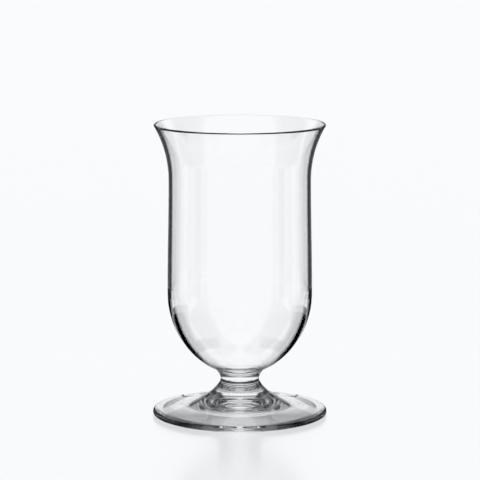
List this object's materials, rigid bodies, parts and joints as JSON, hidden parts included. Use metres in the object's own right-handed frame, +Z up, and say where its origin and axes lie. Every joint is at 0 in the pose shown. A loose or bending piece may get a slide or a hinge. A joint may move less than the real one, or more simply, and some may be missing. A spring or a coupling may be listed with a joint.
{
  "type": "footed spirits glass",
  "caption": "Clear drinking glass for spirits: tall round-bottomed bowl with a flared lip on a short waisted stem and a broad disc foot.",
  "frame": {"origin": "centre of the foot's resting ring, on the surface that the glass stands on", "axes": "+Z up along the glass's axis of revolution, from the foot to the rim; X and Y are alike"},
  "size_m": [0.0684, 0.0684, 0.115],
  "materials": {
    "blown_glass": "clear blown glass, fire-polished rim",
    "drawn_glass": "clear drawn glass, polished by the flame",
    "pressed_glass": "clear pressed glass, rounded edge"
  },
  "bodies": {
    "root": {"bowl": "blown_glass", "stem": "drawn_glass", "foot": "pressed_glass"}
  },
  "joints": []
}
